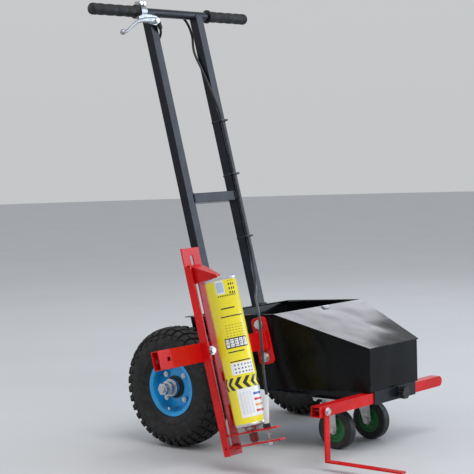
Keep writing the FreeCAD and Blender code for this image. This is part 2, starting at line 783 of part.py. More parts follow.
for side, name in ((-1, "right"), (1, "left")):
    bore = 4 + cell("running_gap")
    half = cell("caster_width") / 2
    radius = cell("caster_radius")
    node(fork(side), "caster_fork_" + name)
    node(caster_bolt(side), "caster_bolt_" + name)
    node(caster_place(turned([(27, -half), (radius - 4, -half, -1.6), (radius, -half + 5),
                              (radius, half - 5, -1.6), (radius - 4, half), (27, half)]), side),
         "caster_tyre_" + name)
    node(caster_place(turned([(bore, -half - 2), (11, -half - 2), (11, -half + 4), (22, -half + 4),
                              (23, -half + 1), (27, -half + 1), (27, half - 1), (23, half - 1),
                              (22, half - 4), (11, half - 4), (11, half + 2), (bore, half + 2)]), side),
         "caster_hub_" + name)


# --- guide bar and pointer -------------------------------------------------------------------

sleeve_reach = cell("sleeve_half_length")
knob_y = cell("knob_y")
guide_half = half_tube
sleeve_inner = guide_half + gap
sleeve_front = sleeve_x + sleeve_half
node(cut(box(sleeve_x - sleeve_half, sleeve_front, -sleeve_reach, sleeve_reach,
             sleeve_z - sleeve_half, sleeve_z + sleeve_half),
         box(sleeve_x - sleeve_inner, sleeve_x + sleeve_inner, -sleeve_reach - 1, sleeve_reach + 1,
             sleeve_z - sleeve_inner, sleeve_z + sleeve_inner),
         cylinder(4 + gap, sleeve_x, sleeve_front + 1, (knob_y, sleeve_z), "X")), "guide_sleeve")

guide_near = cell("guide_near_y")
guide_far = cell("guide_far_y")
pointer_y = cell("pointer_y")
node(cut(square_tube(guide_near, guide_far, (sleeve_x, sleeve_z), tube, "Y"),
         cylinder(4, sleeve_x - 20, sleeve_x + 20, (pointer_y, sleeve_z), "X")), "guide_bar")

node(plate([(guide_far, sleeve_z - guide_half), (guide_far + 1, sleeve_z - guide_half, -9.5),
            (guide_far + 1, sleeve_z + guide_half), (guide_far, sleeve_z + guide_half)],
           "YZ_Plane", sleeve_x - guide_half, sleeve_x + guide_half), "guide_end_cap")

pointer_back = sleeve_x + guide_half + gap
pointer_front = pointer_back + cell("pointer_thickness")
pointer_half = cell("pointer_width") / 2
pointer_low = cell("pointer_drop_z")
pointer_upright = plate([(pointer_y - pointer_half, pointer_low), (pointer_y + pointer_half, pointer_low),
                         (pointer_y + pointer_half, sleeve_z, -7), (pointer_y - pointer_half, sleeve_z)],
                        "YZ_Plane", pointer_back, pointer_front)
pointer_foot = box(pointer_back, cell("pointer_tip_x"), pointer_y - pointer_half, pointer_y + pointer_half,
                   pointer_low, pointer_low + cell("pointer_thickness"))
node(cut(fuse(pointer_upright, pointer_foot),
         cylinder(4 + cell("running_gap"), pointer_back - 5, pointer_front + 5,
                  (pointer_y, sleeve_z), "X")), "pointer_arm")

bolt_start = sleeve_x - guide_half
node(fuse(cylinder(4, bolt_start, pointer_front + 2, (pointer_y, sleeve_z), "X"),
          prism(6, 7.4, bolt_start - 6, bolt_start, (pointer_y, sleeve_z), "X"),
          cylinder(8, pointer_front + gap, pointer_front + 1.8, (pointer_y, sleeve_z), "X"),
          cylinder(5.5, pointer_front + 1.8, pointer_front + 5.5, (pointer_y, sleeve_z), "X")),
     "pointer_bolt")

knob_grip = cylinder(13, sleeve_front + 6, sleeve_front + 18, (knob_y, sleeve_z), "X")
knob_notches = []
for lobe in range(6):
    angle = math.radians(60 * lobe + 30)
    knob_notches.append(cylinder(4, sleeve_front + 5, sleeve_front + 19,
                                 (knob_y + 15 * math.cos(angle), sleeve_z + 15 * math.sin(angle)), "X"))
node(fuse(cut(knob_grip, *knob_notches),
          cylinder(7, sleeve_front + gap, sleeve_front + 6, (knob_y, sleeve_z), "X"),
          cylinder(4, sleeve_x + guide_half + gap, sleeve_front + gap, (knob_y, sleeve_z), "X")),
     "clamp_knob")


# --- outrigger arm ---------------------------------------------------------------------------
# Drawn upright about the arm's centre line: X is forward of the arm, Z along the can holder.

arm_half = cell("arm_depth") / 2
arm_tall_half = cell("arm_tall") / 2
plate_inner = cell("arm_plate_y")
plate_outer = plate_inner - cell("arm_plate_thickness")
plate_half = cell("arm_plate_width") / 2
plate_tall = cell("arm_plate_tall") / 2
holder_y = cell("holder_y")
arm_end = cell("arm_end_y")
bolt_half = cell("arm_bolt_half")

arm_flat = round_edges(box(-plate_half, plate_half, plate_outer, plate_inner, -plate_tall, plate_tall),
                       9, parallel_to(ACROSS))
node(holder_place(cut(arm_flat, *[cylinder(4.2, plate_outer - 1, plate_inner + 1,
                                           (0, bolt_half * way), "Y") for way in (-1, 1)])),
     "arm_plate")

arm_shell = cut(box(-arm_half, arm_half, arm_end, plate_outer, -arm_tall_half, arm_tall_half),
                box(-arm_half + wall, arm_half - wall, arm_end - 1, plate_outer - 1,
                    -arm_tall_half + wall, arm_tall_half - wall))
node(holder_place(cut(arm_shell, *[cylinder(cell("arm_hole_radius"), -20, 20, (spot, 0), "X")
                                   for spot in (cell("arm_hole_y"), holder_y)])), "arm_tube")

node(holder_place(group(*[bolt(4.2, plate_outer - 1.6, plate_inner + 14, (0, bolt_half * way), "Y",
                               head=(8.5, 5.5), tail=(8, 6.5), washer=(10, 1.6))
                          for way in (-1, 1)])), "arm_plate_bolts")


# --- can holder ------------------------------------------------------------------------------

web_back = arm_half + gap
web_front = web_back + cell("web_sheet")
web_half = cell("web_half")
web_near = holder_y - web_half
web_far = holder_y + web_half
can_a = web_front + cell("can_offset")
can_r = cell("can_radius")
plate_sheet = cell("plate_sheet")
nozzle_low = cell("nozzle_plate_low")
nozzle_high = nozzle_low + plate_sheet
trigger_low = cell("trigger_plate_low")
trigger_high = trigger_low + plate_sheet
pin_a = cell("trigger_pin_a")
pin_b = trigger_low + plate_sheet / 2
wire_a = cell("wire_a")
slot_half = cell("slot_half_width")
slot_reach = cell("slot_half_length")
plate_tip = cell("plate_reach")

holder_pieces = [
    box(web_back, web_front, web_near, web_far, cell("web_low"), cell("web_high")),
    box(web_back, web_back + cell("flange_depth"), web_near, web_near + cell("web_sheet"),
        cell("web_low"), cell("flange_high")),
    box(web_front, web_front + 9, web_far - 3, web_far, -145, -113),
    box(web_front, web_front + 9, web_far - 3, web_far, -66, -46),
]
for low in (holder_y - 17, holder_y + 11.5):
    holder_pieces.append(box(web_front, web_front + 9, low, low + 5.5, pin_b - 6, pin_b + 6))
slot_cuts = [box(web_back - 1, web_front + 1, holder_y - slot_half, holder_y + slot_half,
                 -slot_reach, slot_reach)]
for end in (-slot_reach, slot_reach):
    slot_cuts.append(cylinder(slot_half, web_back - 1, web_front + 1, (holder_y, end), "X"))
node(holder_place(cut(fuse(*holder_pieces), *slot_cuts,
                      cylinder(2.5, holder_y - 30, holder_y + 30, (pin_a, pin_b), "Y"))),
     "holder_angle")

node(lean_group(cylinder(2.5, holder_y - 18, holder_y + 18, (pin_a, pin_b), "Y")), "trigger_pin")

node(holder_place(fuse(
    cylinder(4, -arm_half - 7, web_front + gap + 6, (holder_y, 0), "X"),
    prism(6, 7.5, -arm_half - 6.5, -arm_half, (holder_y, 0), "X"),
    cylinder(9, web_front + gap, web_front + gap + 1.6, (holder_y, 0), "X"),
    cylinder(6.5, web_front + gap + 1.6, web_front + gap + 6, (holder_y, 0), "X"))),
    "holder_clamp_bolt")

node(holder_place(cut(
    plate([(web_front, holder_y - 22.8), (web_front + 40, holder_y - 22.8), (plate_tip - 6, holder_y - 12),
           (plate_tip, holder_y - 6), (plate_tip, holder_y + 6), (plate_tip - 6, holder_y + 12),
           (web_front + 40, holder_y + 25.5), (web_front, holder_y + 25.5)],
          "XY_Plane", nozzle_low, nozzle_high),
    cylinder(17, nozzle_low - 1, nozzle_high + 1, (can_a, holder_y), "Z"),
    cylinder(3.5, nozzle_low - 1, nozzle_high + 1, (wire_a, holder_y), "Z"))), "nozzle_plate")

trigger_tip = cell("trigger_reach")
trigger_flat = plate([(web_front + 10, holder_y - 8), (web_front + 12, holder_y - 21),
                      (web_front + 45, holder_y - 21), (trigger_tip, holder_y - 8),
                      (trigger_tip, holder_y + 8), (web_front + 45, holder_y + 21),
                      (web_front + 12, holder_y + 21), (web_front + 10, holder_y + 8)],
                     "XY_Plane", trigger_low, trigger_high)
node(holder_place(cut(
    fuse(trigger_flat, box(pin_a, web_front + 11, holder_y - 8, holder_y + 8, trigger_low, trigger_high),
         cylinder(4.2, holder_y - 11, holder_y + 11, (pin_a, pin_b), "Y")),
    cylinder(2.5 + cell("running_gap"), holder_y - 12, holder_y + 12, (pin_a, pin_b), "Y"),
    cylinder(10, trigger_low - 1, trigger_high + 1, (can_a, holder_y), "Z"),
    cylinder(1, trigger_low - 1, trigger_high + 1, (wire_a, holder_y), "Z"))), "trigger_plate")

node(holder_place(fuse(
    cylinder(1, trigger_low - 6, nozzle_low - 6.5, (wire_a, holder_y), "Z"),
    prism(6, 5, trigger_low - 6, trigger_low, (wire_a, holder_y), "Z"))), "trigger_wire")


def spring():
    """Return spring on the wire between the two plates, as a helix of round wire."""
    low = trigger_high.value + 1
    high = nozzle_low.value - 1
    turns = 5
    coil_radius = 4.2
    helix = Part.makeHelix((high - low) / turns, high - low, coil_radius)
    ring = Part.Wire(Part.makeCircle(0.6, Vector(coil_radius, 0, 0), ACROSS))
    coil = helix.makePipeShell([ring], True, True)
    feature = doc.addObject("Part::Feature", "Spring")
    feature.Shape = coil
    angle = math.radians(lean.value)
    along = wire_a.value
    turn = FreeCAD.Rotation(ACROSS, -lean.value)
    feature.Placement = FreeCAD.Placement(
        Vector(cell("arm_x").value + along * math.cos(angle) - low * math.sin(angle),
               holder_y.value,
               cell("arm_height").value + along * math.sin(angle) + low * math.cos(angle)), turn)
    return feature


node(spring(), "trigger_spring")

# The cable stop stands upright on the leaning nozzle plate.
stop_x = cell("arm_x") + (wire_a + 1) * COS - (nozzle_high + 9) * SIN
stop_z = cell("arm_height") + (wire_a + 1) * SIN + (nozzle_high + 9) * COS
node(fuse(lean_group(prism(6, 8, nozzle_high, nozzle_high + 8, (wire_a, holder_y), "Z")),
          cylinder(5.2, stop_z - 4, 158, (stop_x, holder_y), "Z"),
          cylinder(3.8, 157, 160, (stop_x, holder_y), "Z")), "cable_stop")

# --- hook bracket ---
# A back plate on the slot, a gusset on the near side and a tapered roof over the can's end.
hook_back = web_front + gap
hook_near = holder_y - 18
hook_far = holder_y + 18
hook_low = cell("can_high") + 2.5
hook_high = 176
hook_tip = can_a + 8
roof_slope = plate([(hook_back, hook_high), (hook_tip, hook_low + 6), (hook_tip, hook_low + 3),
                    (hook_back, hook_high - 3)], "XZ_Plane", hook_near, hook_far)
roof_plan = plate([(hook_back, hook_near), (hook_tip, hook_near), (hook_tip, hook_near + 12),
                   (hook_back + 14, hook_far), (hook_back, hook_far)],
                  "XY_Plane", hook_low - 1, hook_high + 1)
node(holder_place(fuse(
    box(hook_back, hook_back + 3, hook_near, hook_far, hook_low, hook_high - 1),
    common(roof_slope, roof_plan),
    plate([(hook_back, hook_high - 1), (hook_tip, hook_low + 5), (hook_tip, hook_low),
           (hook_back, hook_low)], "XZ_Plane", hook_near, hook_near + 3),
    cylinder(3.5, web_back - 3, hook_back + 3, (holder_y, 156), "X"))), "hook_bracket")

# --- aerosol can, upside down ---
can_low = cell("can_low")
can_high = cell("can_high")


def can_shape():
    """Can with its rolled seams, shoulder, dome and valve cup; the valve points down."""
    return place(turned([
        (0, can_low - 11), (13, can_low - 11), (14.5, can_low - 9), (15, can_low - 5.5),
        (can_r - 4, can_low - 1.5), (can_r - 0.5, can_low - 2), (can_r, can_low + 1),
        (can_r - 0.8, can_low + 4), (can_r - 0.8, can_high - 4), (can_r, can_high - 1),
        (can_r - 1.5, can_high), (can_r - 3, can_high - 3), (can_r - 13, can_high - 7),
        (can_r - 25, can_high - 9), (0, can_high - 9)], "XZ_Plane"),
        can_a, holder_y, 0)


node(lean_group(can_shape()), "spray_can")
nozzle = fuse(cylinder(2, nozzle_low - 4, can_low - 11, (can_a, holder_y), "Z"),
              cylinder(8.5, trigger_high + 4, nozzle_low - 2, (can_a, holder_y), "Z"),
              cylinder(6, trigger_high + 4 - 2.5, trigger_high + 4, (can_a, holder_y), "Z"))
node(lean_group(nozzle), "can_nozzle")


# --- check and write -------------------------------------------------------------------------

doc.recompute()
troubles = []
for thing in doc.Objects:
    if "Invalid" in thing.State or "Error" in thing.State:
        troubles.append("%s (%s): %s" % (thing.Name, thing.Label, thing.State))
for thing in nodes:
    if thing.Shape.isNull() or not thing.Shape.isValid() or not thing.Shape.Solids:
        troubles.append("%s has no valid shape" % thing.Label)
if troubles:
    raise RuntimeError("; ".join(troubles))

os.makedirs("parts", exist_ok=True)
for thing in nodes:
    thing.Shape.exportStep(os.path.join("parts", thing.Label + ".step"))
    print("%-22s %2d solids %10.0f mm3" % (
        thing.Label, len(thing.Shape.Solids), thing.Shape.Volume))
print("%d nodes" % len(nodes))
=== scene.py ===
import json
import math
import random

import bmesh
import bpy
from mathutils import Matrix, Vector


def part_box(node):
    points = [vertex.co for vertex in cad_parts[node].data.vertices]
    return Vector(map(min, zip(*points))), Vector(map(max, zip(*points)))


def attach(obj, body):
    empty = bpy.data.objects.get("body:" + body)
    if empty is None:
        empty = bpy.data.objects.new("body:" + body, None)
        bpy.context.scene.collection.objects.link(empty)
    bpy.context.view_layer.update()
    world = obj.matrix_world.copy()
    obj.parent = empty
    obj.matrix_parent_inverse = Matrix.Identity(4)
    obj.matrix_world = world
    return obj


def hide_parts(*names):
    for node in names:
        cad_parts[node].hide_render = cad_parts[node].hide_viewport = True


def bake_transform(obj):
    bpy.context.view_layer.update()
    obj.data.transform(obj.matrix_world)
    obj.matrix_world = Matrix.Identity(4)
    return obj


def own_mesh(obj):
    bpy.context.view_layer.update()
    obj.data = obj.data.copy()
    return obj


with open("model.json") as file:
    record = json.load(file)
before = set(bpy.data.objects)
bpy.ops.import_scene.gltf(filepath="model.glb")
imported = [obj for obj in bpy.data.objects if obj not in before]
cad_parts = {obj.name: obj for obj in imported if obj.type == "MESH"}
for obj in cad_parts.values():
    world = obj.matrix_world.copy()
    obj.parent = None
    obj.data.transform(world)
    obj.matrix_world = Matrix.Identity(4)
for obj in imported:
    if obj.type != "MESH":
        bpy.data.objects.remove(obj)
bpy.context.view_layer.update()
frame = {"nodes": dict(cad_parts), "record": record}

# Looks of the hand-pushed line striping machine.  Metres; +X forward, +Y left, +Z up; the origin
# is on the ground under the rear axle.  Each piece rides on the CAD body it belongs to.

MM = 0.001
record = frame["record"]
joints = {joint["name"]: joint for joint in record["behaviour"]["joints"]}
slot_of = {part["node"]: part["material_slot"] for part in record["subparts"]}
body_of_node = {node: body for body, nodes in record["behaviour"]["bodies"].items() for node in nodes}

HOLDER_UP = Vector(joints["holder_height"]["axis"]).normalized()
HOLDER_FORWARD = Vector((HOLDER_UP.z, 0, -HOLDER_UP.x))
ACROSS = Vector((0, 1, 0))


def middle(node):
    low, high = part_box(node)
    return (low + high) / 2


# --- camera, light and floor -----------------------------------------------------------------

def add_camera():
    """Long lens from the machine's front right, a little above the bin."""
    azimuth, down, roll = math.radians(40.29), math.radians(3.74), math.radians(-1.6)
    ahead = Vector((-math.sin(azimuth) * math.cos(down), math.cos(azimuth) * math.cos(down),
                    -math.sin(down)))
    right = ahead.cross(Vector((0, 0, 1))).normalized()
    top = right.cross(ahead)
    rolled_right = math.cos(roll) * right + math.sin(roll) * top
    rolled_top = -math.sin(roll) * right + math.cos(roll) * top
    data = bpy.data.cameras.new("camera")
    data.lens = 109.9
    data.sensor_width = 36
    camera = bpy.data.objects.new("camera", data)
    turn = Matrix((rolled_right, rolled_top, -ahead)).transposed().to_4x4()
    camera.matrix_world = Matrix.Translation((2.1051, -2.4963, 0.6510)) @ turn
    bpy.context.scene.collection.objects.link(camera)
    bpy.context.scene.camera = camera


def add_area(name, spot, target, size, power, tint=(1, 1, 1)):
    data = bpy.data.lights.new(name, "AREA")
    data.shape = "RECTANGLE"
    data.size, data.size_y = size
    data.energy = power
    data.color = tint
    light = bpy.data.objects.new(name, data)
    light.location = spot
    light.rotation_mode = "QUATERNION"
    light.rotation_quaternion = (Vector(target) - Vector(spot)).to_track_quat("-Z", "Y")
    bpy.context.scene.collection.objects.link(light)


def add_sky():
    """Even pale surroundings, a little brighter overhead."""
    world = bpy.data.worlds.new("studio")
    world.use_nodes = True
    bpy.context.scene.world = world
    tree = world.node_tree
    spot = tree.nodes.new("ShaderNodeTexCoord")
    split = tree.nodes.new("ShaderNodeSeparateXYZ")
    ramp = tree.nodes.new("ShaderNodeValToRGB")
    tree.links.new(spot.outputs["Generated"], split.inputs[0])
    tree.links.new(split.outputs["Z"], ramp.inputs[0])
    ramp.color_ramp.elements[0].color = (0.78, 0.79, 0.80, 1)
    ramp.color_ramp.elements[1].color = (0.93, 0.95, 1.0, 1)
    tree.links.new(ramp.outputs["Color"], tree.nodes["Background"].inputs["Color"])
    tree.nodes["Background"].inputs["Strength"].default_value = 0.72


def add_floor():
    bm = bmesh.new()
    bmesh.ops.create_circle(bm, cap_ends=True, radius=14, segments=96)
    mesh = bpy.data.meshes.new("floor")
    bm.to_mesh(mesh)
    floor = bpy.data.objects.new("floor", mesh)
    bpy.context.scene.collection.objects.link(floor)
    finish = Finish("floor_pale", Roughness=0.85)
    finish.color(finish.mix(finish.noise(3, 5), (0.50, 0.51, 0.52), (0.55, 0.56, 0.57)))
    mesh.materials.append(finish.material)


# --- material building -----------------------------------------------------------------------

def rgba(color):
    return (color[0], color[1], color[2], 1)


class Finish:
    """A Principled material made of nodes.  Patterns are fixed to the piece's own coordinates."""

    def __init__(self, name, **sockets):
        self.material = bpy.data.materials.new(name)
        self.material.use_nodes = True
        self.tree = self.material.node_tree
        self.shader = self.tree.nodes["Principled BSDF"]
        self.coords = self.tree.nodes.new("ShaderNodeTexCoord")
        for socket, value in sockets.items():
            self.shader.inputs[socket.replace("_", " ")].default_value = value

    def add(self, kind, inputs=(), **settings):
        """A node of that kind; inputs are (socket, value or output) pairs."""
        node = self.tree.nodes.new("ShaderNode" + kind)
        for key, value in settings.items():
            setattr(node, key, value)
        for socket, value in inputs:
            if isinstance(value, bpy.types.NodeSocket):
                self.tree.links.new(value, node.inputs[socket])
            else:
                node.inputs[socket].default_value = value
        return node

    def noise(self, scale, detail=3.0, stretch=(1, 1, 1), twist=0.0):
        spread = self.add("Mapping", [("Vector", self.coords.outputs["Object"]), ("Scale", stretch)])
        node = self.add("TexNoise", [("Vector", spread.outputs[0]), ("Scale", scale),
                                     ("Detail", detail), ("Distortion", twist)])
        return node.outputs[0]

    def math(self, operation, first, second=0.0):
        return self.add("Math", [(0, first), (1, second)], operation=operation).outputs[0]

    def window(self, value, low, high, start=0.0, end=1.0):
        """Smooth step of a value from low to high, given out from start to end."""
        return self.add("MapRange", [("Value", value), ("From Min", low), ("From Max", high),
                                     ("To Min", start), ("To Max", end)],
                        interpolation_type="SMOOTHSTEP").outputs[0]

    def mix(self, share, first, second):
        colors = [value if isinstance(value, bpy.types.NodeSocket) else rgba(value)
                  for value in (first, second)]
        node = self.add("Mix", [(0, share), (6, colors[0]), (7, colors[1])], data_type="RGBA")
        return node.outputs[2]

    def edges(self, radius):
        """1 on sharp outer edges and 0 on flat faces."""
        soft = self.add("Bevel", [("Radius", radius)], samples=4)
        shape = self.add("NewGeometry")
        dot = self.add("VectorMath", [(0, soft.outputs[0]), (1, shape.outputs["Normal"])],
                       operation="DOT_PRODUCT")
        return self.window(dot.outputs["Value"], 0.99, 0.86)

    def facing_up(self):
        normal = self.add("SeparateXYZ", [(0, self.add("NewGeometry").outputs["Normal"])])
        return self.window(normal.outputs["Z"], 0.55, 1.0)

    def color(self, value):
        self.tree.links.new(value, self.shader.inputs["Base Color"])

    def roughness(self, value):
        self.tree.links.new(value, self.shader.inputs["Roughness"])

    def bump(self, height, strength, depth=0.001):
        """Raise the surface by a height map; later calls add to earlier ones."""
        node = self.add("Bump", [("Height", height), ("Strength", strength), ("Distance", depth)])
        before = self.shader.inputs["Normal"]
        if before.links:
            self.tree.links.new(before.links[0].from_socket, node.inputs["Normal"])
        self.tree.links.new(node.outputs[0], before)


def painted(name, color, roughness, worn, wear=0.5, dust=0.15, coat=0.5, waves=0.0, shine=0.5):
    """Enamel over steel: orange peel, faint scratches, chipped edges and settled dust."""
    finish = Finish(name, Coat_Weight=coat, Coat_Roughness=0.06, IOR=1.45, Specular_IOR_Level=shine)
    cloudy = finish.window(finish.noise(11, 5), 0.3, 0.7)
    darker = tuple(channel * 0.82 for channel in color)
    lighter = tuple(min(1, channel * 1.12 + 0.002) for channel in color)
    paint = finish.mix(cloudy, darker, lighter)
    grit = finish.noise(260, 6)
    chips = finish.math("MULTIPLY", finish.edges(0.0022), finish.window(grit, 0.52, 0.66, 0, wear))
    scratch = finish.window(finish.noise(60, 8, (1, 9, 22), 0.6), 0.70, 0.74, 0, 0.35)
    marks = finish.math("MAXIMUM", chips, finish.math("MULTIPLY", scratch, 0.5))
    paint = finish.mix(marks, paint, worn)
    settled = finish.math("MULTIPLY", finish.facing_up(), finish.window(finish.noise(28, 6), 0.35, 0.75))
    settled = finish.math("MULTIPLY", settled, dust)
    finish.color(finish.mix(settled, paint, (0.30, 0.28, 0.25)))
    rough = finish.window(finish.noise(35, 4), 0.25, 0.75, roughness * 0.8, roughness * 1.35)
    rough = finish.math("ADD", rough, finish.math("MULTIPLY", settled, 0.5))
    finish.roughness(finish.math("ADD", rough, finish.math("MULTIPLY", marks, 0.3)))
    finish.bump(finish.noise(420, 2), 0.05, 0.0003)
    if waves:
        finish.bump(finish.noise(8, 1.0, (1, 1, 1), 0.6), waves, 0.006)
    finish.bump(finish.math("SUBTRACT", 1.0, chips), 0.35, 0.0003)
    return finish.material


def metal(name, color, roughness, grain=(1, 1, 1), stain=(0.25, 0.23, 0.20), stained=0.35):
    """Plated or bare metal with brushed grain, handling marks and some tarnish."""
    finish = Finish(name, Metallic=1.0)
    dirt = finish.window(finish.noise(70, 7), 0.5, 0.8, 0, stained)
    tone = finish.mix(finish.noise(24, 3), tuple(c * 0.86 for c in color), color)
    finish.color(finish.mix(dirt, tone, stain))
    rough = finish.window(finish.noise(160, 5, grain), 0.25, 0.75, roughness * 0.7, roughness * 1.5)
    finish.roughness(finish.math("ADD", rough, finish.math("MULTIPLY", dirt, 0.4)))
    finish.bump(finish.noise(500, 3, grain), 0.22, 0.0002)
    finish.bump(finish.noise(90, 3), 0.12, 0.0006)
    return finish.material


def moulded(name, color, roughness, texture=0.25, scale=900, dust=0.2, dust_color=(0.22, 0.20, 0.17)):
    """Moulded plastic or rubber: fine texture, uneven sheen and rubbed-in dust."""
    finish = Finish(name, IOR=1.46)
    tone = finish.mix(finish.noise(40, 5), tuple(c * 0.8 for c in color), tuple(c * 1.25 for c in color))
    dusty = finish.window(finish.noise(55, 7), 0.48, 0.78, 0, dust)
    rubbed = finish.math("MULTIPLY", finish.edges(0.0015), dust * 0.6)
    finish.color(finish.mix(finish.math("MAXIMUM", dusty, rubbed), tone, dust_color))
    finish.roughness(finish.window(finish.noise(90, 4), 0.3, 0.7, roughness * 0.85, min(1, roughness * 1.15)))
    finish.bump(finish.noise(scale, 2), texture, 0.0003)
    return finish.material


def make_materials():
    return {
        # The frame's black base colour is tinted blue as a painted sheen standing for pale sky reflected by
        # the enamel.
        "black_frame": painted("satin_black_enamel_painted_sheen", (0.007, 0.008, 0.015), 0.25, (0.20, 0.20, 0.22),
                               wear=0.3, dust=0.02, coat=0.08, shine=0.26),
        "black_sheet": painted("gloss_black_enamel", (0.0022, 0.0026, 0.0030), 0.13, (0.28, 0.29, 0.30),
                               wear=0.45, dust=0.01, coat=0.04, waves=0.55, shine=0.14),
        "red_paint": painted("gloss_red_enamel", (0.62, 0.005, 0.006), 0.26, (0.36, 0.07, 0.06),
                             wear=0.4, dust=0.015, coat=0.10, shine=0.28),
        "rim_blue": painted("gloss_blue_enamel", (0.008, 0.33, 0.72), 0.26, (0.20, 0.24, 0.28),
                            wear=0.9, dust=0.10, coat=0.35),
        "grip_foam": moulded("black_grip_rubber", (0.007, 0.007, 0.008), 0.60, 0.5, 700, 0.08),
        "tyre_black": moulded("tyre_rubber", (0.008, 0.008, 0.008), 0.70, 0.5, 500, 0.25,
                              (0.07, 0.066, 0.058)),
        "caster_tread": moulded("caster_rubber", (0.017, 0.017, 0.019), 0.55, 0.3, 500, 0.35,
                                (0.12, 0.11, 0.10)),
        "caster_green": moulded("green_nylon", (0.012, 0.145, 0.035), 0.42, 0.15, 600, 0.25),
        "cable_black": moulded("black_vinyl", (0.007, 0.0075, 0.009), 0.42, 0.08, 900, 0.05),
        "knob_black": moulded("black_phenolic", (0.010, 0.010, 0.011), 0.25, 0.08, 600, 0.10),
        "cable_stop_white": moulded("white_nylon", (0.72, 0.73, 0.72), 0.40, 0.1, 500, 0.35,
                                    (0.42, 0.38, 0.32)),
        "nozzle_red": moulded("dark_red_nozzle", (0.22, 0.012, 0.012), 0.40, 0.1, 500, 0.20),
        "lever_silver": metal("cast_aluminium", (0.42, 0.43, 0.45), 0.32, (1, 1, 1),
                              (0.30, 0.29, 0.27), 0.30),
        "zinc": metal("zinc_plate", (0.68, 0.69, 0.70), 0.28, (1, 1, 1), (0.28, 0.25, 0.20), 0.40),
        "steel": metal("turned_steel", (0.58, 0.59, 0.61), 0.26, (1, 14, 1), (0.20, 0.18, 0.15), 0.45),
        "can_yellow": can_print(),
    }


def can_print():
    """Yellow tinplate with a generic printed layout: u runs round the can, v up from the valve."""
    finish = Finish("printed_tinplate", Coat_Weight=0.4, Coat_Roughness=0.12)
    place = finish.add("SeparateXYZ", [(0, finish.coords.outputs["UV"])])
    u, v = place.outputs["X"], place.outputs["Y"]

    def between(value, low, high):
        above = finish.math("GREATER_THAN", value, low)
        return finish.math("MULTIPLY", above, finish.math("LESS_THAN", value, high))

    def panel(u_low, u_high, v_low, v_high):
        return finish.math("MULTIPLY", between(u, u_low, u_high), between(v, v_low, v_high))

    def stripes(value, count, share):
        """1 over share of each of count equal steps of a value."""
        part = finish.math("FRACT", finish.math("MULTIPLY", value, count))
        return finish.math("LESS_THAN", part, share)

    def rows(u_low, u_high, v_low, v_high, count, share, breaks=31, kept=0.62):
        """Rows of short dashes that stand for printed lines."""
        block = panel(u_low, u_high, v_low, v_high)
        lines = finish.math("MULTIPLY", block, stripes(v, count, share))
        return finish.math("MULTIPLY", lines, stripes(u, breaks, kept))

    def layer(base, mask, color):
        return finish.mix(mask, base, color)

    yellow = finish.mix(finish.noise(30, 4), (0.78, 0.66, 0.012), (0.88, 0.76, 0.02))
    white = (0.80, 0.81, 0.82)
    black = (0.012, 0.012, 0.012)
    blue = (0.04, 0.12, 0.45)
    red = (0.62, 0.05, 0.03)
    orange = (0.75, 0.28, 0.03)
    look = yellow
    look = layer(look, panel(0.600, 0.685, 0.890, 0.980), white)
    look = layer(look, panel(0.607, 0.678, 0.900, 0.970), (0.42, 0.55, 0.72))
    look = layer(look, rows(0.720, 0.800, 0.880, 0.975, 34, 0.55, 37, 0.55), black)
    look = layer(look, rows(0.600, 0.800, 0.864, 0.880, 62, 0.55, 43), black)
    look = layer(look, panel(0.610, 0.750, 0.786, 0.795), black)
    look = layer(look, panel(0.590, 0.830, 0.731, 0.739), black)
    look = layer(look, rows(0.600, 0.820, 0.600, 0.690, 55, 0.3), (0.35, 0.30, 0.03))
    look = layer(look, panel(0.579, 0.817, 0.520, 0.590), black)
    for index in range(5):
        left = 0.588 + index * 0.046
        look = layer(look, panel(left, left + 0.036, 0.528, 0.582), white)
        look = layer(look, rows(left + 0.006, left + 0.030, 0.534, 0.576, 48 + 5 * index, 0.5, 41), black)
    look = layer(look, panel(0.590, 0.760, 0.491, 0.499), black)
    look = layer(look, panel(0.590, 0.820, 0.426, 0.434), black)
    look = layer(look, panel(0.583, 0.830, 0.340, 0.420), white)
    look = layer(look, rows(0.600, 0.810, 0.350, 0.410, 40, 0.35, 29, 0.45), black)
    slope = finish.math("ABSOLUTE", finish.math("SUBTRACT", v, 0.2825))
    lean = finish.math("SUBTRACT", u, finish.math("MULTIPLY", slope, 1.1))
    zigzag = stripes(lean, 12, 0.5)
    look = layer(look, finish.math("MULTIPLY", panel(-1, 2, 0.240, 0.325), zigzag), black)
    look = layer(look, panel(0.590, 0.900, 0.050, 0.245), white)
    look = layer(look, rows(0.605, 0.735, 0.070, 0.225, 80, 0.3), (0.35, 0.38, 0.42))
    for index, tint in enumerate((red, orange, red, blue)):
        low = 0.075 + 0.038 * index
        look = layer(look, panel(0.750, 0.860, low, low + 0.016), tint)
    scuffs = finish.window(finish.noise(120, 8, (1, 1, 3)), 0.68, 0.75, 0, 0.5)
    finish.color(finish.mix(scuffs, look, (0.55, 0.53, 0.45)))
    finish.roughness(finish.window(finish.noise(60, 4), 0.3, 0.7, 0.22, 0.36))
    finish.bump(finish.noise(30, 2), 0.08, 0.001)
    return finish.material


# --- mesh building ---------------------------------------------------------------------------

def add_mesh(name, bm, slot, body, replaces=(), smooth=35, material=None):
    """Turn bm into a piece with the slot's finish that rides on a body."""
    bmesh.ops.recalc_face_normals(bm, faces=bm.faces)
    mesh = bpy.data.meshes.new(name)
    bm.to_mesh(mesh)
    bm.free()
    mesh.shade_smooth()
    mesh.set_sharp_from_angle(angle=math.radians(smooth))
    mesh.materials.append(material or materials[slot])
    piece = bpy.data.objects.new(name, mesh)
    bpy.context.scene.collection.objects.link(piece)
    if replaces:
        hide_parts(*replaces)
    if body:
        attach(piece, body)
    return piece


